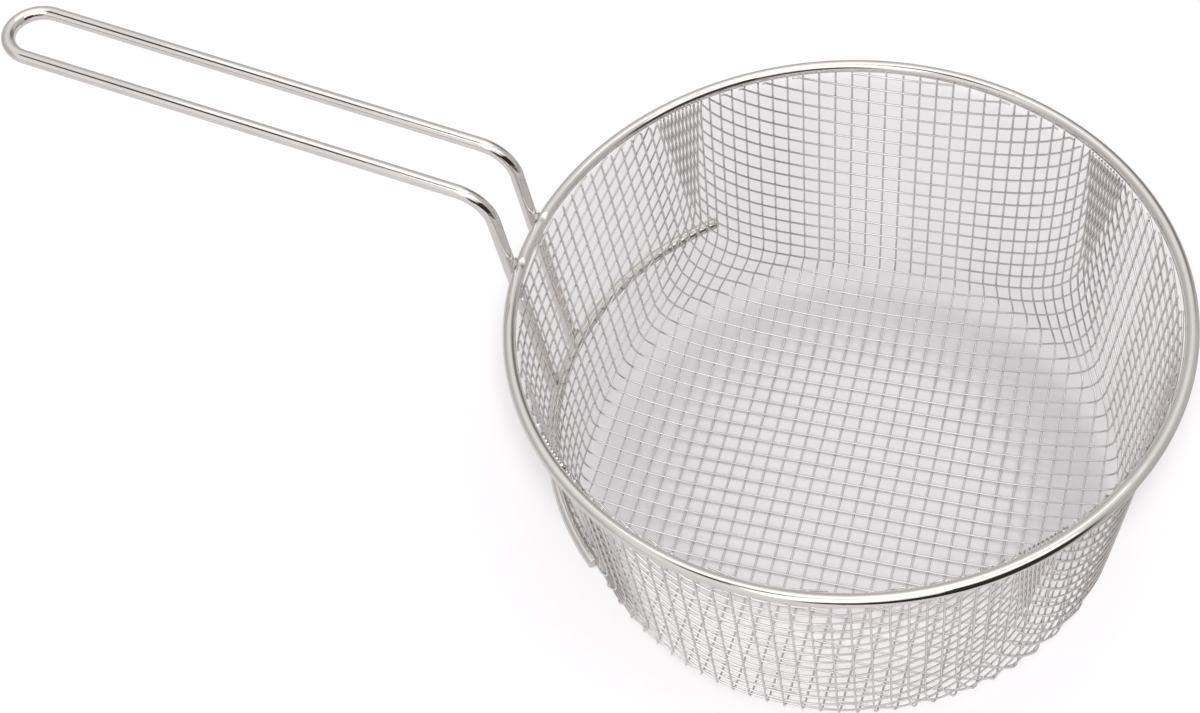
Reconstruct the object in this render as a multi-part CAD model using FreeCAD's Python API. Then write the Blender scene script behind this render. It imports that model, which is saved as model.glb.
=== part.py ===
"""Round wire basket for a deep fryer, with one long wire handle.

A sheet of welded square mesh is pressed into a bowl and welded inside a round hoop. The handle is one
wire, bent to a narrow loop. Its two legs run down the outside of the hoop to a curved brace on the wall.
All sizes are in millimetres. The basket stands on Z = 0 with its axis on Z, and its handle points to -X.
"""
import FreeCAD, Part
import math
import os

Vector = FreeCAD.Vector

# Hoop
RIM_OUTSIDE_DIAMETER = 232.0
RIM_WIRE_DIAMETER = 4.6
RIM_HEIGHT = 113.5

# Bowl
MESH_WIRE_DIAMETER = 0.8
WELD_SINK = 0.08
WIRE_PITCH = 6.35
FLOOR_FLAT_RADIUS = 50.0
FLOOR_RISE_RADIUS = 144.0
CORNER_RADIUS = 6.0
WALL_LEAN = 5.0
MESH_TURN = 3.2
GATHERED_PITCH = 1.6
EDGE_BELOW_RIM_CENTRE = 0.6
FOOT_WEAR = 0.2

# Ridges of the bowl, each of them standing for several wires of the real sheet
WIRES_PER_RIDGE = 6
RIDGE_WIDTH = 4.2
SMALLEST_GAP_SHARE = 0.34
EDGE_STEPS = 3

# Handle
HANDLE_WIRE_DIAMETER = 5.0
HANDLE_SPAN = 22.4
HANDLE_REACH = 305.0
HANDLE_RISE = 9.9
HANDLE_BEND_RADIUS = 14.0
HANDLE_BEND_HEIGHT = 146.0
LEG_BELOW_BRACE = 8.0

# Brace
BRACE_WIRE_DIAMETER = 4.6
BRACE_HEIGHT = 46.5
BRACE_ANGLE = 98.0
BRACE_OFF_CENTRE = 2.0

# Clearance at each welded seat
SEAT_GAP = 0.1

# Worked out from the sizes above
MESH_THICKNESS = 2 * MESH_WIRE_DIAMETER - WELD_SINK
FLOOR_MIDDLE = MESH_THICKNESS / 2 - FOOT_WEAR
RIM_RADIUS = (RIM_OUTSIDE_DIAMETER - RIM_WIRE_DIAMETER) / 2
WALL_TOP_RADIUS = RIM_RADIUS - RIM_WIRE_DIAMETER / 2 - SEAT_GAP - MESH_THICKNESS / 2
WALL_TOP = RIM_HEIGHT - EDGE_BELOW_RIM_CENTRE
WALL_SLOPE = math.radians(90.0 - WALL_LEAN)
NEWTON_STEPS = 12
TINY = 1e-6
FULL_TURN = 360.0
UP = Vector(0, 0, 1)


def corner_centre():
    """Centre of the floor corner, in the plane of a section, as radius and height."""
    along = (math.cos(WALL_SLOPE), math.sin(WALL_SLOPE))
    start = (WALL_TOP_RADIUS - CORNER_RADIUS * along[1], WALL_TOP + CORNER_RADIUS * along[0])
    hub = (FLOOR_FLAT_RADIUS, FLOOR_MIDDLE + FLOOR_RISE_RADIUS)
    off = (start[0] - hub[0], start[1] - hub[1])
    half = off[0] * along[0] + off[1] * along[1]
    rest = off[0] ** 2 + off[1] ** 2 - (FLOOR_RISE_RADIUS - CORNER_RADIUS) ** 2
    reach = -half - math.sqrt(half * half - rest)
    return start[0] + reach * along[0], start[1] + reach * along[1]


CORNER_R, CORNER_Z = corner_centre()
CORNER_START = math.atan2(CORNER_R - FLOOR_FLAT_RADIUS, FLOOR_MIDDLE + FLOOR_RISE_RADIUS - CORNER_Z)
RISE_END = FLOOR_FLAT_RADIUS + FLOOR_RISE_RADIUS * CORNER_START
CORNER_END = RISE_END + CORNER_RADIUS * (WALL_SLOPE - CORNER_START)
WALL_FOOT_R = CORNER_R + CORNER_RADIUS * math.sin(WALL_SLOPE)
WALL_FOOT_Z = CORNER_Z - CORNER_RADIUS * math.cos(WALL_SLOPE)
EDGE = CORNER_END + (WALL_TOP - WALL_FOOT_Z) / math.sin(WALL_SLOPE)


def section(length):
    """Radius, height and slope of the bowl's middle surface, at a length measured out from its centre."""
    if length <= FLOOR_FLAT_RADIUS:
        return length, FLOOR_MIDDLE, 0.0
    if length <= RISE_END:
        slope = (length - FLOOR_FLAT_RADIUS) / FLOOR_RISE_RADIUS
        radius = FLOOR_FLAT_RADIUS + FLOOR_RISE_RADIUS * math.sin(slope)
        return radius, FLOOR_MIDDLE + FLOOR_RISE_RADIUS * (1 - math.cos(slope)), slope
    if length <= CORNER_END:
        slope = CORNER_START + (length - RISE_END) / CORNER_RADIUS
        return CORNER_R + CORNER_RADIUS * math.sin(slope), CORNER_Z - CORNER_RADIUS * math.cos(slope), slope
    run = length - CORNER_END
    return WALL_FOOT_R + run * math.cos(WALL_SLOPE), WALL_FOOT_Z + run * math.sin(WALL_SLOPE), WALL_SLOPE


def on_bowl(place, outwards=0.0):
    """Point of the bowl for a place on its flat map, which keeps lengths from the centre and directions."""
    length = math.hypot(place[0], place[1])
    if length < TINY:
        return Vector(0, 0, FLOOR_MIDDLE - outwards)
    radius, height, slope = section(length)
    radius += outwards * math.sin(slope)
    scale = radius / length
    return Vector(place[0] * scale, place[1] * scale, height - outwards * math.cos(slope))


def next_along(place, pitch):
    """Place one pitch further out on the wire through the centre."""
    start = on_bowl(place)
    step = pitch
    for _ in range(NEWTON_STEPS):
        step += pitch - start.distanceToPoint(on_bowl((place[0] + step, 0.0)))
    return place[0] + step, 0.0


def knot_from(left, below, corner):
    """Place where two wires cross, one pitch from the crossings to its left and below it."""
    ends = on_bowl(left), on_bowl(below)
    middle = (ends[0] + ends[1]) / 2
    across = (ends[0] - ends[1]).normalize()
    reach = WIRE_PITCH ** 2 - ends[0].distanceToPoint(middle) ** 2
    x, y = left[0] + below[0] - corner[0], left[1] + below[1] - corner[1]
    for _ in range(NEWTON_STEPS):
        here = on_bowl((x, y))
        in_x = (on_bowl((x + TINY, y)) - here) / TINY
        in_y = (on_bowl((x, y + TINY)) - here) / TINY
        run = here - middle
        miss = (run.dot(run) - reach) / 2, run.dot(across)
        rows = run.dot(in_x), run.dot(in_y), across.dot(in_x), across.dot(in_y)
        spread = rows[0] * rows[3] - rows[1] * rows[2]
        x -= (miss[0] * rows[3] - miss[1] * rows[1]) / spread
        y -= (miss[1] * rows[0] - miss[0] * rows[2]) / spread
    return x, y


def gathered(place, lead):
    """The place, kept off the bowl's diagonal by the closest that the gathered wires can lie there."""
    length = math.hypot(*place)
    limit = math.pi / 4 - lead * GATHERED_PITCH / (2 * WALL_TOP_RADIUS)
    if length < CORNER_END or math.atan2(place[1], place[0]) < limit:
        return place
    return length * math.cos(limit), length * math.sin(limit)


def drape():
    """Crossings of the draped sheet in one quarter of the bowl: wires keep their pitch, and cells shear."""
    knots = {(0, 0): (0.0, 0.0)}
    i = 0
    while math.hypot(*knots[i, 0]) < EDGE:
        place = next_along(knots[i, 0], WIRE_PITCH)
        i += 1
        knots[i, 0] = place
        knots[0, i] = (place[1], place[0])
    for total in range(2, 2 * i):
        for j in range(1, total // 2 + 1):
            i = total - j
            left, below = knots.get((i - 1, j)), knots.get((i, j - 1))
            if left and below and min(math.hypot(*left), math.hypot(*below)) < EDGE:
                place = gathered(knot_from(left, below, knots[i - 1, j - 1]), i - j)
                knots[i, j] = place
                knots[j, i] = (place[1], place[0])
    return knots


QUARTER = drape()
RIDGE_TURNS = max(i for i, j in QUARTER) // WIRES_PER_RIDGE


def knot(i, j):
    """Crossing i, j of the whole sheet, on the bowl's flat map."""
    x, y = QUARTER[abs(i), abs(j)]
    return math.copysign(x, i), math.copysign(y, j)


def inside(i, j):
    return (abs(i), abs(j)) in QUARTER and math.hypot(*knot(i, j)) < EDGE


def to_edge(place):
    scale = EDGE / math.hypot(*place)
    return place[0] * scale, place[1] * scale


def between(start, end, share):
    return start[0] + share * (end[0] - start[0]), start[1] + share * (end[1] - start[1])


def edge_crossing(inner, outer):
    """Where the wire between two crossings meets the bowl's edge."""
    low, high = 0.0, 1.0
    while high - low > TINY:
        share = (low + high) / 2
        if math.hypot(*between(knot(*inner), knot(*outer), share)) < EDGE:
            low = share
        else:
            high = share
    return to_edge(between(knot(*inner), knot(*outer), low))


def needed(i, j):
    """Whether a ridge bends at this crossing: at all round the floor corner, at every third elsewhere."""
    length = math.hypot(*knot(i, j))
    bent = RISE_END - WIRE_PITCH < length < CORNER_END + WIRE_PITCH
    half = WIRES_PER_RIDGE // 2
    return bent or (i % half == 0 and j % half == 0)


def around(i0, j0):
    """Crossings round one cell of the coarse net, in order."""
    n = WIRES_PER_RIDGE
    sides = [(i0 + k, j0) for k in range(n)]
    sides += [(i0 + n, j0 + k) for k in range(n)]
    sides += [(i0 + n - k, j0 + n) for k in range(n)]
    sides += [(i0, j0 + n - k) for k in range(n)]
    return sides


def cell_outline(i0, j0):
    """Outline of a cell on the flat map as (place, on_edge), clipped at the bowl's edge."""
    ring = around(i0, j0)
    points = []
    for here, after in zip(ring, ring[1:] + ring[:1]):
        if inside(*here) and needed(*here):
            points.append((knot(*here), False))
        if inside(*here) and not inside(*after):
            points.append((edge_crossing(here, after), True))
        if inside(*after) and not inside(*here):
            points.append((edge_crossing(after, here), True))
    return points


def with_edge_points(points):
    """The same outline, with more points where it follows the bowl's edge."""
    full = []
    for here, after in zip(points, points[1:] + points[:1]):
        full.append(here)
        if here[1] and after[1]:
            for k in range(1, EDGE_STEPS):
                full.append((to_edge(between(here[0], after[0], k / EDGE_STEPS)), True))
    return full


def middle_of(points):
    return tuple(sum(place[k] for place, _ in points) / len(points) for k in (0, 1))


def gap_share(points, middle):
    """How much of a cell its gap takes across, once the ridges round it have their width."""
    centre = on_bowl(middle)
    area, border = 0.0, 0.0
    for here, after in zip(points, points[1:] + points[:1]):
        a, b = on_bowl(here[0]), on_bowl(after[0])
        area += (a - centre).cross(b - centre).Length / 2
        border += a.distanceToPoint(b)
    return 1 - RIDGE_WIDTH / 2 * border / (2 * area)


def flat_or_split(corners):
    """One face for four corners in a plane, two faces otherwise."""
    a, b, c, d = corners
    across = (b - a).cross(c - a)
    if abs((d - a).dot(across)) < TINY * across.Length:
        return [Part.Face(Part.makePolygon([a, b, c, d, a]))]
    return [Part.Face(Part.makePolygon([a, b, c, a])), Part.Face(Part.makePolygon([a, c, d, a]))]


def cell_faces(points):
    """Faces of one cell: the slopes of the ridges round its gap, or a shallow pleat where it has closed."""
    middle = middle_of(points)
    share = gap_share(points, middle)
    is_open = share > SMALLEST_GAP_SHARE
    half = MESH_THICKNESS / 2
    follow = list(zip(points, points[1:] + points[:1]))
    faces = []
    for side in (half, -half):
        for here, after in follow:
            crest = on_bowl(here[0], side), on_bowl(after[0], side)
            if is_open:
                lips = [on_bowl(between(middle, place, share)) for place, _ in (after, here)]
                faces += flat_or_split((*crest, *lips))
            else:
                hollow = on_bowl(middle, side / 2)
                faces.append(Part.Face(Part.makePolygon([*crest, hollow, crest[0]])))
    for here, after in follow:
        if here[1] and after[1]:
            corners = [on_bowl(here[0], half), on_bowl(after[0], half)]
            corners += [on_bowl(after[0], -half), on_bowl(here[0], -half)]
            faces += flat_or_split(corners)
    return faces, is_open


def sewn(faces):
    """The faces joined to one closed shell."""
    shell = Part.makeShell(faces)
    shell.sewShape()
    return shell.Shells[0]


def mesh_bowl():
    """The pressed sheet as one wall of ridges with open gaps, flattened underneath where it stands."""
    faces, gaps = [], 0
    first = WIRES_PER_RIDGE // 2
    starts = [first + WIRES_PER_RIDGE * k for k in range(-RIDGE_TURNS - 1, RIDGE_TURNS)]
    for i0 in starts:
        for j0 in starts:
            points = with_edge_points(cell_outline(i0, j0))
            if len(points) > 2:
                new_faces, is_open = cell_faces(points)
                faces += new_faces
                gaps += is_open
    wall = Part.makeSolid(sewn(faces))
    below = Part.makeBox(
        RIM_OUTSIDE_DIAMETER,
        RIM_OUTSIDE_DIAMETER,
        MESH_THICKNESS,
        Vector(-RIM_OUTSIDE_DIAMETER / 2, -RIM_OUTSIDE_DIAMETER / 2, -MESH_THICKNESS),
    )
    wall = wall.cut(below).Solids[0]
    wall.rotate(Vector(), UP, MESH_TURN)
    print("gaps in the wall", gaps)
    return wall


def bent_round_axis(wire_diameter, radius, height, turn):
    """A round wire bent round the Z axis, from +X on, with its section as one smooth closed curve."""
    outline = Part.Circle(Vector(radius, 0, height), Vector(0, 1, 0), wire_diameter / 2).toBSpline()
    return Part.Face(Part.Wire(outline.toShape())).revolve(Vector(), UP, turn)


def rim_ring():
    """The hoop: one wire bent to a ring and welded end to end."""
    return bent_round_axis(RIM_WIRE_DIAMETER, RIM_RADIUS, RIM_HEIGHT, FULL_TURN)


def wall_radius(height):
    return WALL_FOOT_R + (height - WALL_FOOT_Z) / math.tan(WALL_SLOPE)


def brace_radius():
    off_the_wall = (MESH_THICKNESS + BRACE_WIRE_DIAMETER) / 2 + SEAT_GAP
    return wall_radius(BRACE_HEIGHT) + off_the_wall / math.sin(WALL_SLOPE)


def brace():
    """A curved wire on the outside of the wall, nearly centred on the handle, with blunt ends."""
    arc = bent_round_axis(BRACE_WIRE_DIAMETER, brace_radius(), BRACE_HEIGHT, BRACE_ANGLE)
    arc.rotate(Vector(), UP, (FULL_TURN - BRACE_ANGLE) / 2 + BRACE_OFF_CENTRE)
    return arc


def leg_distance(seat_radius, seat_wire):
    """How far along X a handle leg lies from the axis where it passes outside a hoop or brace."""
    reach = seat_radius + (seat_wire + HANDLE_WIRE_DIAMETER) / 2 + SEAT_GAP
    return math.sqrt(reach ** 2 - (HANDLE_SPAN / 2) ** 2)


def handle_corners():
    """Foot, bend and loop centre of the +Y leg, as points of the wire's centre line before rounding."""
    at_rim = leg_distance(RIM_RADIUS, RIM_WIRE_DIAMETER)
    at_brace = leg_distance(brace_radius(), BRACE_WIRE_DIAMETER)
    lean = (at_rim - at_brace) / (RIM_HEIGHT - BRACE_HEIGHT)
    y = HANDLE_SPAN / 2
    foot_height = BRACE_HEIGHT - LEG_BELOW_BRACE
    foot = Vector(-(at_brace - LEG_BELOW_BRACE * lean), y, foot_height)
    bend = Vector(-(at_rim + (HANDLE_BEND_HEIGHT - RIM_HEIGHT) * lean), y, HANDLE_BEND_HEIGHT)
    rise = math.radians(HANDLE_RISE)
    run = (HANDLE_REACH + bend.x) / math.cos(rise) - HANDLE_SPAN / 2
    loop = bend + Vector(-run * math.cos(rise), 0, run * math.sin(rise))
    return foot, bend, loop


def rounded(start, corner, end, radius):
    """Two straight runs joined by a tangent arc: the edges, from start to end."""
    back, ahead = (start - corner).normalize(), (end - corner).normalize()
    half = back.getAngle(ahead) / 2
    cut = radius / math.tan(half)
    first, last = corner + back * cut, corner + ahead * cut
    bisector = (back + ahead).normalize()
    nearest = corner + bisector * (radius / math.sin(half) - radius)
    arc = Part.Arc(first, nearest, last).toShape()
    return [Part.makeLine(start, first), arc, Part.makeLine(last, end)]


def handle():
    """One wire: up a leg, out along the handle, round the loop at its end, and back down the other leg."""
    foot, bend, loop = handle_corners()
    other = [Vector(p.x, -p.y, p.z) for p in (foot, bend, loop)]
    out = rounded(foot, bend, loop, HANDLE_BEND_RADIUS)
    along = (loop - bend).normalize()
    tip = Vector(loop.x, 0, loop.z) + along * (HANDLE_SPAN / 2)
    turn = Part.Arc(loop, tip, other[2]).toShape()
    back = rounded(other[2], other[1], other[0], HANDLE_BEND_RADIUS)
    path = Part.Wire(out + [turn] + back)
    profile = Part.Wire(Part.makeCircle(HANDLE_WIRE_DIAMETER / 2, foot, bend - foot))
    solid = path.makePipeShell([profile], True, True)
    expected = path.Length * math.pi * (HANDLE_WIRE_DIAMETER / 2) ** 2
    print("handle wire", round(path.Length, 1), "long, volume ratio", round(solid.Volume / expected, 4))
    return solid


def main():
    os.makedirs("parts", exist_ok=True)
    for make in (mesh_bowl, rim_ring, handle, brace):
        name, shape = make.__name__, make()
        shape.exportStep("parts/" + name + ".step")
        box = shape.BoundBox
        print(name, shape.ShapeType, "valid", shape.isValid(), "volume", round(shape.Volume, 1))
        print("   x", round(box.XMin, 2), round(box.XMax, 2), "y", round(box.YMin, 2), round(box.YMax, 2),
              "z", round(box.ZMin, 2), round(box.ZMax, 2))


main()
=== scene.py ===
# %% [markdown]
# A round wire basket for a deep fryer. A sheet of welded steel mesh is pressed into a bowl and welded
# inside a thick wire hoop. One long wire, bent to a narrow loop, is the handle, and a short curved wire
# on the outside of the wall braces the handle's feet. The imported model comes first, because it says
# where each piece is and how big it is. It is in metres, with Z up along the bowl's axis.

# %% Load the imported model
import math
import bmesh
import bpy
from mathutils import Matrix, Vector


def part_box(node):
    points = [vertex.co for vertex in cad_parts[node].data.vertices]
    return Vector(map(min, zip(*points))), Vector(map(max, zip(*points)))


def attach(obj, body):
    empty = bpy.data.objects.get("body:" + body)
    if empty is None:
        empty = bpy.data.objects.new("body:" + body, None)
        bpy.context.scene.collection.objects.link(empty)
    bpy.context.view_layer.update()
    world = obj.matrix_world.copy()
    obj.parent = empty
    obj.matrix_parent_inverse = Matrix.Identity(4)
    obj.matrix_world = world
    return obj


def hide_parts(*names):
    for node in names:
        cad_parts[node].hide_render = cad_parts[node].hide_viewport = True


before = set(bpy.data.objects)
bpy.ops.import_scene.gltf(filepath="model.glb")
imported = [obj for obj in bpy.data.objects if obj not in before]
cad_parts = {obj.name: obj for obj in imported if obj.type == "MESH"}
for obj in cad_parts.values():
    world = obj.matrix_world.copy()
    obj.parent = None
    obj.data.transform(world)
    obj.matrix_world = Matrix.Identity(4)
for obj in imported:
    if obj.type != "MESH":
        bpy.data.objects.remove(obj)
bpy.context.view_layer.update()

# %% [markdown]
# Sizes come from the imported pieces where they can. The hoop's box gives the hoop and its wire, and the
# rest are the sizes of the bowl's section and of the handle, written in millimetres as on a drawing.

# %% Sizes of the hoop and the wires
MM = 0.001
UP = Vector((0, 0, 1))
hoop_low, hoop_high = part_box("rim_ring")
HOOP_WIRE = (hoop_high.z - hoop_low.z) / MM
HOOP_RADIUS = hoop_high.x / MM - HOOP_WIRE / 2
HOOP_HEIGHT = (hoop_high.z + hoop_low.z) / 2 / MM
HANDLE_WIRE = 5.0
MESH_WIRE = 0.8
WELD_SINK = 0.08
WIRE_PITCH = 6.35
MESH_THICKNESS = 2 * MESH_WIRE - WELD_SINK
FOOT_WEAR = 0.2
SEAT_GAP = 0.1
print("hoop", round(HOOP_RADIUS, 2), "at", round(HOOP_HEIGHT, 2), "wire", round(HOOP_WIRE, 2))

# %% Sizes of the bowl
FLOOR_MIDDLE = MESH_THICKNESS / 2 - FOOT_WEAR
FLOOR_FLAT_RADIUS = 50.0
FLOOR_RISE_RADIUS = 144.0
CORNER_RADIUS = 6.0
WALL_SLOPE = math.radians(85.0)
EDGE_BELOW_HOOP = 0.6
MESH_TURN = math.radians(3.2)
WALL_TOP_RADIUS = HOOP_RADIUS - HOOP_WIRE / 2 - SEAT_GAP - MESH_THICKNESS / 2
WALL_TOP = HOOP_HEIGHT - EDGE_BELOW_HOOP

# %% [markdown]
# The bowl is round, so one section through its wall gives its whole shape: a flat middle, a slow rise,
# a tight corner and a straight wall that leans out a little. The corner's centre is where a circle
# touches both the rising floor and the wall, so the pieces of the section run smoothly into each other.


# %% Where the floor's corner is
def corner_hub():
    along = Vector((math.cos(WALL_SLOPE), math.sin(WALL_SLOPE)))
    start = Vector((WALL_TOP_RADIUS - CORNER_RADIUS * along.y, WALL_TOP + CORNER_RADIUS * along.x))
    off = start - Vector((FLOOR_FLAT_RADIUS, FLOOR_MIDDLE + FLOOR_RISE_RADIUS))
    half = off.dot(along)
    rest = off.dot(off) - (FLOOR_RISE_RADIUS - CORNER_RADIUS) ** 2
    return start + along * (-half - math.sqrt(half * half - rest))


HUB = corner_hub()
CORNER_START = math.atan2(HUB.x - FLOOR_FLAT_RADIUS, FLOOR_MIDDLE + FLOOR_RISE_RADIUS - HUB.y)
RISE_END = FLOOR_FLAT_RADIUS + FLOOR_RISE_RADIUS * CORNER_START
CORNER_END = RISE_END + CORNER_RADIUS * (WALL_SLOPE - CORNER_START)
WALL_FOOT = HUB + CORNER_RADIUS * Vector((math.sin(WALL_SLOPE), -math.cos(WALL_SLOPE)))
EDGE = CORNER_END + (WALL_TOP - WALL_FOOT.y) / math.sin(WALL_SLOPE)
print("from the centre to the top edge, along the sheet", round(EDGE, 1), "mm")


# %% A point of the bowl for a length from its centre
def section(length):
    if length <= FLOOR_FLAT_RADIUS:
        return length, FLOOR_MIDDLE, 0.0
    if length <= RISE_END:
        slope = (length - FLOOR_FLAT_RADIUS) / FLOOR_RISE_RADIUS
        radius = FLOOR_FLAT_RADIUS + FLOOR_RISE_RADIUS * math.sin(slope)
        return radius, FLOOR_MIDDLE + FLOOR_RISE_RADIUS * (1 - math.cos(slope)), slope
    if length <= CORNER_END:
        slope = CORNER_START + (length - RISE_END) / CORNER_RADIUS
        return HUB.x + CORNER_RADIUS * math.sin(slope), HUB.y - CORNER_RADIUS * math.cos(slope), slope
    run = length - CORNER_END
    return WALL_FOOT.x + run * math.cos(WALL_SLOPE), WALL_FOOT.y + run * math.sin(WALL_SLOPE), WALL_SLOPE


def on_bowl(place, outwards=0.0):
    length = place.length
    if length < 1e-9:
        return Vector((0, 0, FLOOR_MIDDLE - outwards))
    radius, height, slope = section(length)
    scale = (radius + outwards * math.sin(slope)) / length
    return Vector((place.x * scale, place.y * scale, height - outwards * math.cos(slope)))


# %% [markdown]
# Steel wire hardly stretches, so when a flat sheet is pressed into a bowl each square of the mesh keeps
# the length of its sides and only its corners open or close. That is a fishnet, and it can be worked out
# from the centre: two wires cross at right angles there, and every further crossing is one pitch from
# the crossing on its left and one pitch from the crossing below it. Up the wall, midway between the two
# wire directions, the squares close to slits and the wires gather into folds. There the crossings are
# kept a little apart, as real wires are by their thickness.

# %% Crossings of the pressed sheet
NEWTON_STEPS = 12
TINY = 1e-4
GATHERED_PITCH = 1.6


def next_along(place):
    step = WIRE_PITCH
    for _ in range(NEWTON_STEPS):
        step += WIRE_PITCH - (on_bowl(place) - on_bowl(place + Vector((step, 0)))).length
    return place + Vector((step, 0))


def crossing(left, below, corner):
    ends = on_bowl(left), on_bowl(below)
    middle = (ends[0] + ends[1]) / 2
    across = (ends[0] - ends[1]).normalized()
    reach = WIRE_PITCH ** 2 - (ends[0] - middle).length_squared
    place = left + below - corner
    for _ in range(NEWTON_STEPS):
        here = on_bowl(place)
        in_x = (on_bowl(place + Vector((TINY, 0))) - here) / TINY
        in_y = (on_bowl(place + Vector((0, TINY))) - here) / TINY
        run = here - middle
        miss = Vector(((run.dot(run) - reach) / 2, run.dot(across)))
        turn = Matrix(((run.dot(in_x), run.dot(in_y)), (across.dot(in_x), across.dot(in_y))))
        place = place - turn.inverted() @ miss
    return place


def gathered(place, lead):
    limit = math.pi / 4 - lead * GATHERED_PITCH / (2 * WALL_TOP_RADIUS)
    if place.length < CORNER_END or math.atan2(place.y, place.x) < limit:
        return place
    return place.length * Vector((math.cos(limit), math.sin(limit)))


# %% One quarter of the sheet, from the centre outwards
def press_quarter():
    knots = {(0, 0): Vector((0, 0))}
    i = 0
    while knots[i, 0].length < EDGE:
        knots[i + 1, 0] = next_along(knots[i, 0])
        knots[0, i + 1] = knots[i + 1, 0].yx
        i += 1
    for total in range(2, 2 * i):
        for j in range(1, total // 2 + 1):
            i = total - j
            left, below = knots.get((i - 1, j)), knots.get((i, j - 1))
            if left and below and min(left.length, below.length) < EDGE:
                knots[i, j] = gathered(crossing(left, below, knots[i - 1, j - 1]), i - j)
                knots[j, i] = knots[i, j].yx
    return knots


QUARTER = press_quarter()
REACH = max(i for i, j in QUARTER)
print("crossings in a quarter", len(QUARTER), "and wires from the centre to the edge", REACH)


def knot(i, j):
    quarter = QUARTER.get((abs(i), abs(j)))
    return quarter and Vector((math.copysign(quarter.x, i), math.copysign(quarter.y, j)))


# %% [markdown]
# Small helpers for work in edit mode. An operator acts on whatever is selected, so each step starts by
# deselecting everything and then selects by place.


# %% Selecting and finishing helpers
def start_clean():
    bpy.ops.object.select_all(action="DESELECT")


def pick(obj):
    start_clean()
    obj.select_set(True)
    bpy.context.view_layer.objects.active = obj


def select_edges(obj, test):
    mesh = bmesh.from_edit_mesh(obj.data)
    mesh.select_mode = {"EDGE"}
    for edge in mesh.edges:
        edge.select_set(test(edge))
    mesh.select_flush_mode()
    bmesh.update_edit_mesh(obj.data)
    return sum(edge.select for edge in mesh.edges)


def select_verts(obj, test):
    mesh = bmesh.from_edit_mesh(obj.data)
    mesh.select_mode = {"VERT"}
    for vert in mesh.verts:
        vert.select_set(test(vert.co))
    mesh.select_flush_mode()
    bmesh.update_edit_mesh(obj.data)
    return sum(vert.select for vert in mesh.verts)


def finish_piece(obj, name, node, smooth=math.radians(40)):
    obj.name = name
    pick(obj)
    bpy.ops.object.transform_apply(location=True, rotation=True, scale=True)
    bpy.ops.object.shade_smooth_by_angle(angle=smooth)
    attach(obj, "root")
    if node:
        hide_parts(node)
    print(name, len(obj.data.polygons), "faces")


# %% [markdown]
# The mesh is welded, not woven: the wires that run along the handle all lie on the inside of the bowl
# and the others all lie on the outside, so both sets stay straight. Both start from the same flat grid.
# For one set the lines that run across are deleted, what is left is cut finer, each point is moved to its
# place on the bowl, and the lines are given a round section. A cloth simulation could press the sheet
# too, but it would let the wires stretch, and the count of wires up the wall would be wrong.

# %% Lines of one set of wires, still flat
CUTS = 3
MESH_AXES = {"x": Vector((1, 0, 0)), "y": Vector((0, 1, 0))}
LAYER = {"x": -1, "y": 1}


def flat_lines(axis):
    start_clean()
    bpy.ops.mesh.primitive_grid_add(x_subdivisions=2 * REACH, y_subdivisions=2 * REACH, size=2 * REACH)
    sheet = bpy.context.object
    bpy.ops.object.mode_set(mode="EDIT")
    along = MESH_AXES[axis]
    select_edges(sheet, lambda e: abs((e.verts[1].co - e.verts[0].co).dot(along)) < 0.5)
    bpy.ops.mesh.delete(type="EDGE_FACE")
    select_verts(sheet, lambda co: beyond_edge(co, along))
    bpy.ops.mesh.delete(type="VERT")
    bpy.ops.mesh.select_all(action="SELECT")
    bpy.ops.mesh.subdivide(number_cuts=CUTS)
    bpy.ops.object.mode_set(mode="OBJECT")
    return sheet


def beyond_edge(co, along):
    ends = [co, co - along * math.copysign(1, co.dot(along))]
    places = [knot(round(end.x), round(end.y)) for end in ends]
    if not places[0]:
        return True
    return min(place.length for place in places if place) >= EDGE


# %% From the flat sheet to the bowl
def sheet_place(co, axis):
    u, v = (co.x, co.y) if axis == "x" else (co.y, co.x)
    line, low = round(v), math.floor(u + TINY)
    ends = [knot(low + k, line) if axis == "x" else knot(line, low + k) for k in (0, 1)]
    share = u - low
    if not ends[1]:
        return ends[0]
    return ends[0].lerp(ends[1], share)


def press(sheet, axis):
    turn = Matrix.Rotation(MESH_TURN, 3, "Z")
    outwards = LAYER[axis] * (MESH_THICKNESS - MESH_WIRE) / 2
    loose = []
    for vert in sheet.data.vertices:
        place = sheet_place(vert.co, axis)
        if place.length > EDGE + WIRE_PITCH / (CUTS + 1):
            loose.append(vert.index)
        if place.length > EDGE:
            place = place * (EDGE / place.length)
        vert.co = turn @ on_bowl(place, outwards) * MM
    return loose


# %% [markdown]
# A line becomes a wire when it is turned into a curve with a bevel, which sweeps a round section along
# it. Eight sides would be finer, but at this size six are enough, and the count of faces stays low.


# %% Round wires from the pressed lines
def make_wires(axis, name):
    sheet = flat_lines(axis)
    loose = set(press(sheet, axis))
    pick(sheet)
    bpy.ops.object.mode_set(mode="EDIT")
    mesh = bmesh.from_edit_mesh(sheet.data)
    for vert in mesh.verts:
        vert.select_set(vert.index in loose)
    bpy.ops.mesh.delete(type="VERT")
    bpy.ops.object.mode_set(mode="OBJECT")
    bpy.ops.object.convert(target="CURVE")
    wires = bpy.context.object
    wires.data.bevel_depth = MESH_WIRE / 2 * MM
    wires.data.bevel_resolution = 1
    wires.data.use_fill_caps = True
    print(name, len(wires.data.splines), "wires")
    bpy.ops.object.convert(target="MESH")
    finish_piece(wires, name, "mesh_bowl", math.pi)
    return wires


inner = make_wires("x", "inner_mesh_wires")
outer = make_wires("y", "outer_mesh_wires")

# %% [markdown]
# The hoop is a ring of thick wire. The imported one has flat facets, which a polished surface would show,
# so a finer ring takes its place. Its ends were butt welded, which leaves a low collar.

# %% The hoop
SEAM_ANGLE = math.radians(334.3)
SEAM_RISE = 1.07
SEAM_REACH = 0.62
HOOP_SIDES = 480
HOOP_WIRE_SIDES = 24


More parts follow.
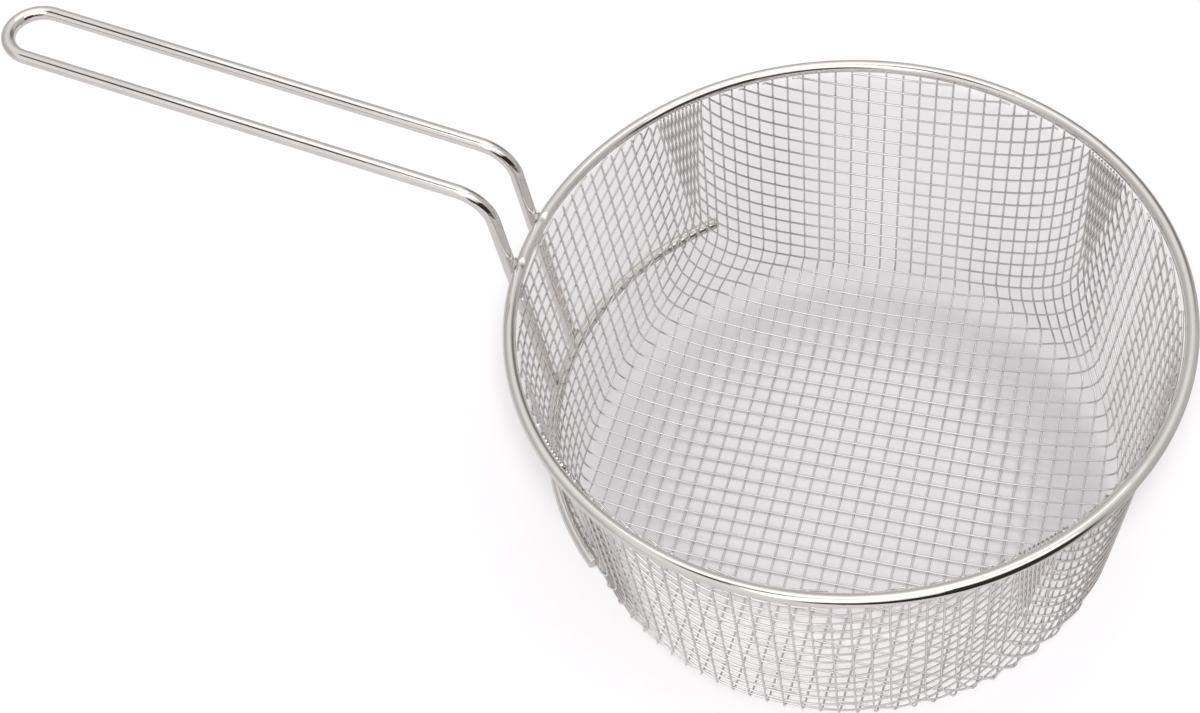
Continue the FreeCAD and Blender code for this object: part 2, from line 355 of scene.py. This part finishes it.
def point_on_hoop(angle):
    across = Vector((math.cos(angle), math.sin(angle), 0))
    return (across * HOOP_RADIUS + UP * HOOP_HEIGHT) * MM


start_clean()
bpy.ops.mesh.primitive_torus_add(
    major_segments=HOOP_SIDES, minor_segments=HOOP_WIRE_SIDES,
    major_radius=HOOP_RADIUS * MM, minor_radius=HOOP_WIRE / 2 * MM,
    location=(0, 0, HOOP_HEIGHT * MM),
)
hoop = bpy.context.object
bpy.ops.object.transform_apply(location=True)
bpy.ops.object.mode_set(mode="EDIT")
seam = point_on_hoop(SEAM_ANGLE)
count = select_verts(hoop, lambda co: (co - seam).length < HOOP_WIRE * MM * SEAM_REACH)
bpy.ops.transform.resize(value=(SEAM_RISE,) * 3, center_override=seam)
bpy.ops.object.mode_set(mode="OBJECT")
print("points in the seam's collar", count)
finish_piece(hoop, "hoop", "rim_ring")

# %% [markdown]
# The handle is one wire, so it is made as it is bent: a round outline at one foot is pulled up the leg,
# spun round the bend, pulled out along the handle, spun round the end loop, and back down the other leg.

# %% Where the handle bends
SPAN = 22.4
BEND_RADIUS = 14.0
BEND_HEIGHT = 146.0
RISE = math.radians(9.9)
LEG_BELOW_BRACE = 8.0
handle_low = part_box("handle")[0]
brace_low, brace_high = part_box("brace")
BRACE_WIRE = (brace_high.z - brace_low.z) / MM
BRACE_HEIGHT = (brace_high.z + brace_low.z) / 2 / MM
BRACE_RADIUS = -brace_low.x / MM - BRACE_WIRE / 2
REACH_OUT = -handle_low.x / MM - HANDLE_WIRE / 2
FOOT_HEIGHT = BRACE_HEIGHT - LEG_BELOW_BRACE


def leg_distance(radius, wire):
    seat = radius + (wire + HANDLE_WIRE) / 2 + SEAT_GAP
    return math.sqrt(seat ** 2 - (SPAN / 2) ** 2)


AT_HOOP = leg_distance(HOOP_RADIUS, HOOP_WIRE)
AT_BRACE = leg_distance(BRACE_RADIUS, BRACE_WIRE)
LEAN = (AT_HOOP - AT_BRACE) / (HOOP_HEIGHT - BRACE_HEIGHT)
foot = Vector((-(AT_BRACE - LEG_BELOW_BRACE * LEAN), SPAN / 2, FOOT_HEIGHT))
bend = Vector((-(AT_HOOP + (BEND_HEIGHT - HOOP_HEIGHT) * LEAN), SPAN / 2, BEND_HEIGHT))
leg = (bend - foot).normalized()
out = Vector((-math.cos(RISE), 0, math.sin(RISE)))
run = (REACH_OUT + bend.x) / math.cos(RISE) - SPAN / 2
loop = bend + out * run
print("foot", foot[:], "bend", bend[:], "loop", loop[:])

# %% Bend the handle wire
BEND_TURN = leg.angle(out)
CUT_BACK = BEND_RADIUS * math.tan(BEND_TURN / 2)
FULL_STEPS = 48
HANDLE_SIDES = 28
BRACE_SIDES = 24


def extrude_by(vector):
    bpy.ops.mesh.extrude_region_move(TRANSFORM_OT_translate={"value": vector * MM})


def spin_by(angle, centre, axis):
    steps = max(6, round(FULL_STEPS * abs(angle) / math.pi))
    bpy.ops.mesh.spin(steps=steps, angle=-angle, center=centre * MM, axis=axis)


def outline_at(place, along, wire, sides):
    start_clean()
    bpy.ops.mesh.primitive_circle_add(vertices=sides, radius=wire / 2 * MM, location=place * MM)
    ring = bpy.context.object
    ring.rotation_euler = along.to_track_quat("Z", "Y").to_euler()
    bpy.ops.object.transform_apply(location=True, rotation=True)
    bpy.ops.object.mode_set(mode="EDIT")
    bpy.ops.mesh.select_all(action="SELECT")
    return ring


def middle_of_selection(obj):
    mesh = bmesh.from_edit_mesh(obj.data)
    chosen = [vert.co for vert in mesh.verts if vert.select]
    return sum(chosen, Vector()) / len(chosen) / MM


handle = outline_at(foot, leg, HANDLE_WIRE, HANDLE_SIDES)
first_turn = leg.cross(out).normalized()
leg_run = leg * ((bend - foot).length - CUT_BACK)
hub = foot + leg_run + (out - leg * out.dot(leg)).normalized() * BEND_RADIUS
extrude_by(leg_run)
spin_by(BEND_TURN, hub, first_turn)
print("after the bend", middle_of_selection(handle)[:], "wanted", (bend + out * CUT_BACK)[:])
extrude_by(out * (run - CUT_BACK))
across = Vector((0, -1, 0))
spin_by(math.pi, loop + across * (SPAN / 2), out.cross(across))
print("after the loop", middle_of_selection(handle)[:])
extrude_by(out * (CUT_BACK - run))
spin_by(BEND_TURN, hub + across * SPAN, -first_turn)
extrude_by(-leg_run)
print("other foot", middle_of_selection(handle)[:], "wanted", (foot + across * SPAN)[:])

# %% [markdown]
# The wire's ends were sheared off, so they are closed flat, and their edge is broken with a small bevel.

# %% Close and soften the cut ends
END_BEVEL = 0.5


def close_ends(obj, ends):
    bpy.ops.mesh.select_all(action="SELECT")
    bpy.ops.mesh.remove_doubles(threshold=0.001 * MM)
    bpy.ops.mesh.fill_holes(sides=0)
    bpy.ops.mesh.normals_make_consistent(inside=False)
    for end, wire in ends:
        select_edges(obj, lambda e: len(e.link_faces) == 2
                     and max(len(f.verts) for f in e.link_faces) > 4
                     and (e.verts[0].co - end * MM).length < wire * MM)
        bpy.ops.mesh.bevel(offset=END_BEVEL * MM, segments=3, affect="EDGES")
    bpy.ops.object.mode_set(mode="OBJECT")


close_ends(handle, [(foot, HANDLE_WIRE), (foot + across * SPAN, HANDLE_WIRE)])
finish_piece(handle, "handle_wire", "handle")

# %% [markdown]
# The brace lies round the outside of the wall. It is the same kind of piece: an outline spun about the
# axis of the bowl, cut off at both ends.

# %% The brace
outer_radius = BRACE_RADIUS + BRACE_WIRE / 2
start_angle = math.pi - math.asin(brace_high.y / MM / outer_radius)
end_angle = math.pi + math.asin(-brace_low.y / MM / outer_radius)


def on_brace(angle):
    return Vector((BRACE_RADIUS * math.cos(angle), BRACE_RADIUS * math.sin(angle), BRACE_HEIGHT))


brace_start, brace_end = on_brace(start_angle), on_brace(end_angle)
brace = outline_at(brace_start, UP.cross(brace_start).normalized(), BRACE_WIRE, BRACE_SIDES)
spin_by(end_angle - start_angle, UP * BRACE_HEIGHT, UP)
print("brace end", middle_of_selection(brace)[:], "wanted", brace_end[:])
close_ends(brace, [(brace_start, BRACE_WIRE), (brace_end, BRACE_WIRE)])
finish_piece(brace, "brace_wire", "brace")

# %% [markdown]
# The thick wires are joined by resistance welds. Two electrodes press the crossing wires together while
# the current softens them: a little steel is squeezed out between the wires as a low four-cornered
# nugget, and the electrode's flat tip leaves a small bright flat on the other side of the hoop.

# %% Nuggets between the crossing wires
NUGGET_RADIUS = 2.1
NUGGET_HALF_HEIGHT = 0.75
NUGGET_CORNER = 0.55
CORNER_PULL = 1.16


def add_nugget(name, place, normal):
    start_clean()
    bpy.ops.mesh.primitive_uv_sphere_add(segments=32, ring_count=16, radius=NUGGET_RADIUS * MM)
    nugget = bpy.context.object
    bpy.ops.object.mode_set(mode="EDIT")
    corner = NUGGET_CORNER * NUGGET_RADIUS * MM
    select_verts(nugget, lambda co: min(abs(co.x), abs(co.y)) > corner)
    bpy.ops.transform.resize(value=(CORNER_PULL, CORNER_PULL, 1.0), center_override=(0, 0, 0))
    bpy.ops.mesh.select_all(action="SELECT")
    bpy.ops.mesh.vertices_smooth(factor=0.5, repeat=2)
    flat = NUGGET_HALF_HEIGHT / NUGGET_RADIUS
    bpy.ops.transform.resize(value=(1.0, 1.0, flat), center_override=(0, 0, 0))
    bpy.ops.object.mode_set(mode="OBJECT")
    nugget.rotation_euler = normal.to_track_quat("Z", "Y").to_euler()
    nugget.location = place * MM
    finish_piece(nugget, name, None)
    return nugget


def contact(radius, wire, height, side):
    angle = math.pi - side * math.asin(SPAN / 2 / (radius + (wire + HANDLE_WIRE) / 2))
    normal = Vector((math.cos(angle), math.sin(angle), 0))
    return normal * (radius + wire / 2 + SEAT_GAP / 2) + UP * height, normal


welds = []
for side, name in ((1, "back"), (-1, "front")):
    place, normal = contact(HOOP_RADIUS, HOOP_WIRE, HOOP_HEIGHT, side)
    welds.append(add_nugget("hoop_weld_" + name, place, normal))
    place, normal = contact(BRACE_RADIUS, BRACE_WIRE, BRACE_HEIGHT, side)
    welds.append(add_nugget("brace_weld_" + name, place, normal))

# %% Electrode marks on the hoop
MARK_HALF_LENGTH = 2.4
MARK_DEPTH = 0.30
MARK_SOFTNESS = 0.16
MARK_REACH = 1.5 * MARK_HALF_LENGTH
MARK_FACING = Vector((0.32, -0.14, 0.93)).normalized()


def select_faces(obj, test):
    mesh = bmesh.from_edit_mesh(obj.data)
    mesh.select_mode = {"FACE"}
    for face in mesh.faces:
        face.select_set(test(face.calc_center_median()))
    mesh.select_flush_mode()
    bmesh.update_edit_mesh(obj.data)
    return sum(face.select for face in mesh.faces)


def press_mark(obj, place, normal):
    pick(obj)
    bpy.ops.object.mode_set(mode="EDIT")
    count = select_faces(obj, lambda co: (co - place * MM).length < MARK_REACH * MM)
    bpy.ops.mesh.subdivide(number_cuts=2, smoothness=1.0)
    bpy.ops.object.mode_set(mode="OBJECT")
    along = UP.cross(place).normalized()
    for vert in obj.data.vertices:
        off = vert.co / MM - place
        share = abs(off.dot(along)) / MARK_HALF_LENGTH
        if share < 1 and off.length < MARK_REACH:
            proud = off.dot(normal) + MARK_DEPTH
            pressed = (proud + math.hypot(proud, MARK_SOFTNESS)) / 2
            vert.co -= normal * pressed * (1 - share ** 2) ** 2 * MM
    return count


for side in (1, -1):
    place, outwards = contact(HOOP_RADIUS, HOOP_WIRE, HOOP_HEIGHT, side)
    top = outwards * HOOP_RADIUS + UP * HOOP_HEIGHT + MARK_FACING * HOOP_WIRE / 2
    print("faces made finer for a mark", press_mark(hoop, top, MARK_FACING))

# %% [markdown]
# The finish comes next. The wires are steel with a bright nickel and chrome plating. Such plating is a
# metal surface: it has no colour of its own under the shine, and what the eye reads as light and dark is
# the room in it. It is not a perfect mirror, because drawing the wire leaves faint lines and the
# plating is a little uneven, so the roughness and the surface both vary slightly.


# %% Colours and nodes
def colour(text):
    parts = [int(text[k:k + 2], 16) / 255 for k in (1, 3, 5)]
    return tuple(p / 12.92 if p <= 0.04045 else ((p + 0.055) / 1.055) ** 2.4 for p in parts) + (1.0,)


def add_node(tree, kind, settings=None, **links):
    node = tree.nodes.new(kind)
    for key, value in (settings or {}).items():
        if key in node.inputs:
            node.inputs[key].default_value = value
        else:
            setattr(node, key, value)
    for key, source in links.items():
        tree.links.new(source, node.inputs[key.replace("_", " ")])
    return node


WAVE_SIZE = 4.0
SHINE_SPREAD = 0.3


def plated_steel(name, light, dark, roughness, patch_size, wave_depth):
    """Bright plating with duller patches and slight waves. Both sizes are in millimetres."""
    material = bpy.data.materials.new(name)
    material.use_nodes = True
    tree = material.node_tree
    shader = tree.nodes["Principled BSDF"]
    shader.inputs["Metallic"].default_value = 1.0
    place = add_node(tree, "ShaderNodeTexCoord")
    patches = add_node(tree, "ShaderNodeTexNoise", {"Scale": 1 / (patch_size * MM), "Detail": 3.0},
                       Vector=place.outputs["Object"])
    tint = add_node(tree, "ShaderNodeMix", {"data_type": "RGBA"}, Factor=patches.outputs["Fac"])
    tint.inputs[6].default_value = colour(light)
    tint.inputs[7].default_value = colour(dark)
    tree.links.new(tint.outputs[2], shader.inputs["Base Color"])
    shine = add_node(tree, "ShaderNodeMapRange", {
        "To Min": roughness * (1 - SHINE_SPREAD), "To Max": roughness * (1 + SHINE_SPREAD),
    }, Value=patches.outputs["Fac"])
    tree.links.new(shine.outputs["Result"], shader.inputs["Roughness"])
    waves = add_node(tree, "ShaderNodeTexNoise", {"Scale": 1 / (WAVE_SIZE * MM), "Detail": 2.0},
                     Vector=place.outputs["Object"])
    bump = add_node(tree, "ShaderNodeBump", {"Distance": wave_depth * MM, "Strength": 1.0},
                    Height=waves.outputs["Fac"])
    tree.links.new(bump.outputs["Normal"], shader.inputs["Normal"])
    return material


def dress(obj, material):
    obj.data.materials.clear()
    obj.data.materials.append(material)


# %% Finish of each wire
thick_plating = plated_steel("bright_chrome_plated_steel", "#E2DFDC", "#D2CECA", 0.08, 18.0, 0.02)
thin_plating = plated_steel("plated_mesh_wire", "#E6E3E2", "#D0CCCA", 0.11, 9.0, 0.01)
for piece in (hoop, handle, brace, *welds):
    dress(piece, thick_plating)
for piece in (inner, outer):
    dress(piece, thin_plating)
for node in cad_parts.values():
    dress(node, thick_plating)

# %% [markdown]
# The basket stands on a large sheet of white paper in a white studio. Polished wire on white vanishes
# unless it also mirrors something darker. So the paper ends just to the right of the picture, and past
# its edge the dark side of the studio shows in the front of the hoop, as it does in the photograph. Seen
# past the hoop the paper is pure white. Under and behind the basket a soft-edged disc of the paper is left
# pale grey as a painted shadow, and the wires on it look brighter than the paper. So the lift to pure
# white is for the camera's rays only, and starts outside that disc of painted shadow.

# %% Paper
PAPER_SIZE = 4.0
PAPER_EDGE = Vector((0.156, -0.058, 0))
PAPER_TURN = math.radians(8.6)
PAPER_LIFT = 0.23
# Painted shadow: a soft-edged disc under and behind the basket, where the paper is not lifted to white.
PAINTED_SHADOW_MIDDLE = Vector((-0.024, 0.080, 0))
PAINTED_SHADOW_INSIDE = 0.134
PAINTED_SHADOW_OUTSIDE = 0.152
start_clean()
bpy.ops.mesh.primitive_plane_add(size=PAPER_SIZE)
paper = bpy.context.object
paper.name = "paper"
paper.rotation_euler.z = PAPER_TURN
paper.location = PAPER_EDGE - Matrix.Rotation(PAPER_TURN, 3, "Z") @ Vector((PAPER_SIZE / 2, 0, 0))
bpy.ops.object.transform_apply(location=True, rotation=True)
paper_material = bpy.data.materials.new("matt_white_paper_with_painted_shadow")
paper_material.use_nodes = True
tree = paper_material.node_tree
paint = tree.nodes["Principled BSDF"]
paint.inputs["Base Color"].default_value = colour("#F0EDF0")
paint.inputs["Roughness"].default_value = 0.9
paint.inputs["Specular IOR Level"].default_value = 0.0
paint.inputs["Emission Color"].default_value = colour("#FFFFFF")
rays = add_node(tree, "ShaderNodeLightPath")
spot = add_node(tree, "ShaderNodeTexCoord")
off = add_node(tree, "ShaderNodeVectorMath", {"operation": "DISTANCE"})
tree.links.new(spot.outputs["Object"], off.inputs[0])
off.inputs[1].default_value = PAINTED_SHADOW_MIDDLE
# Painted shadow: the paper glows white to the camera only outside this disc, and inside it stays grey.
outside_painted_shadow = add_node(tree, "ShaderNodeMapRange", {
    "interpolation_type": "SMOOTHSTEP",
    "From Min": PAINTED_SHADOW_INSIDE,
    "From Max": PAINTED_SHADOW_OUTSIDE,
    "To Max": PAPER_LIFT,
}, Value=off.outputs["Value"])
lift = add_node(tree, "ShaderNodeMath", {"operation": "MULTIPLY"})
tree.links.new(rays.outputs["Is Camera Ray"], lift.inputs[0])
tree.links.new(outside_painted_shadow.outputs["Result"], lift.inputs[1])
tree.links.new(lift.outputs[0], paint.inputs["Emission Strength"])
dress(paper, paper_material)

# %% [markdown]
# The room is white overhead and greyer towards the ground. Four soft places in it draw the lines that
# polished wire shows: a bright front, a narrow dark gap high up on the handle's side, the dark side past
# the paper, and a dimmer back. The camera itself sees plain white behind the basket.

# %% Room
ROOM_BANDS = [(0.0, "#C4C1BE"), (0.50, "#C9C6C4"), (0.66, "#D0CECC"), (0.80, "#D9D8D7"), (0.90, "#FFFFFF")]
ROOM_PLACES = [
    (Vector((-0.20, -0.85, 0.45)), 24.0, 40.0, "#FFFFFF"),
    (Vector((-0.22, -0.40, 0.88)), 7.0, 16.0, "#4A4745"),
    (Vector((0.70, -0.72, 0.02)), 35.0, 45.0, "#383432"),
    (Vector((0.28, 0.88, 0.28)), 8.0, 24.0, "#8A8683"),
]
world = bpy.data.worlds.new("studio")
bpy.context.scene.world = world
world.use_nodes = True
tree = world.node_tree
tree.nodes.clear()
direction = add_node(tree, "ShaderNodeTexCoord").outputs["Generated"]
axes = add_node(tree, "ShaderNodeSeparateXYZ", Vector=direction)
height = add_node(tree, "ShaderNodeMapRange", {"From Min": -1.0, "From Max": 1.0}, Value=axes.outputs["Z"])
bands = add_node(tree, "ShaderNodeValToRGB", Fac=height.outputs["Result"])
ramp = bands.color_ramp
while len(ramp.elements) < len(ROOM_BANDS):
    ramp.elements.new(0.5)
for element, (place, text) in zip(ramp.elements, ROOM_BANDS):
    element.position = place
    element.color = colour(text)
shown = bands.outputs["Color"]
for towards, inner_angle, outer_angle, text in ROOM_PLACES:
    nearness = add_node(tree, "ShaderNodeVectorMath", {"operation": "DOT_PRODUCT"})
    tree.links.new(direction, nearness.inputs[0])
    nearness.inputs[1].default_value = towards.normalized()
    patch = add_node(tree, "ShaderNodeMapRange", {
        "interpolation_type": "SMOOTHSTEP",
        "From Min": math.cos(math.radians(outer_angle)),
        "From Max": math.cos(math.radians(inner_angle)),
    }, Value=nearness.outputs["Value"])
    changed = add_node(tree, "ShaderNodeMix", {"data_type": "RGBA"}, Factor=patch.outputs["Result"])
    tree.links.new(shown, changed.inputs[6])
    changed.inputs[7].default_value = colour(text)
    shown = changed.outputs[2]
sight = add_node(tree, "ShaderNodeLightPath")
behind = add_node(tree, "ShaderNodeMix", {"data_type": "RGBA"}, Factor=sight.outputs["Is Camera Ray"])
tree.links.new(shown, behind.inputs[6])
behind.inputs[7].default_value = (1.0, 1.0, 1.0, 1.0)
glow = add_node(tree, "ShaderNodeBackground", {"Strength": 1.0})
tree.links.new(behind.outputs[2], glow.inputs["Color"])
screen = add_node(tree, "ShaderNodeOutputWorld")
tree.links.new(glow.outputs["Background"], screen.inputs["Surface"])

# %% [markdown]
# Three soft boxes, one overhead, one in front and one on the right, give the wires their brightest
# lines and the basket its soft shadow. The camera stands where the photographer did: its place, its
# three angles and its lens were found from the mesh, whose squares have a known size.

# %% Lamp and camera
TARGET = Vector((0, 0, 0.05))


def soft_box(name, place, size, glow):
    """A square lamp. A glow of 1 adds as much light as white paper in full light gives off."""
    lamp = bpy.data.lights.new(name, "AREA")
    lamp.shape = "SQUARE"
    lamp.size = size
    lamp.energy = glow * math.pi * size ** 2
    box = bpy.data.objects.new(name, lamp)
    bpy.context.scene.collection.objects.link(box)
    box.location = place
    box.rotation_euler = (place - TARGET).to_track_quat("Z", "Y").to_euler()
    return box


soft_box("top_light", Vector((0.0, 0.20, 1.70)), 1.24, 0.5)
soft_box("front_light", Vector((0.34, -1.10, 1.22)), 1.3, 1.1)
soft_box("right_light", Vector((1.02, -0.48, 1.26)), 0.85, 0.8)

CAMERA_PLACE = Vector((102.94, -363.19, 591.32)) * MM
CAMERA_ANGLES = [math.radians(a) for a in (36.92, 6.762, 19.717)]
LENS = 53.51
view = bpy.data.cameras.new("camera")
view.lens = LENS
view.sensor_width = 36.0
camera = bpy.data.objects.new("camera", view)
bpy.context.scene.collection.objects.link(camera)
camera.location = CAMERA_PLACE
camera.rotation_euler = CAMERA_ANGLES
bpy.context.scene.camera = camera
bpy.context.scene.view_settings.view_transform = "Standard"
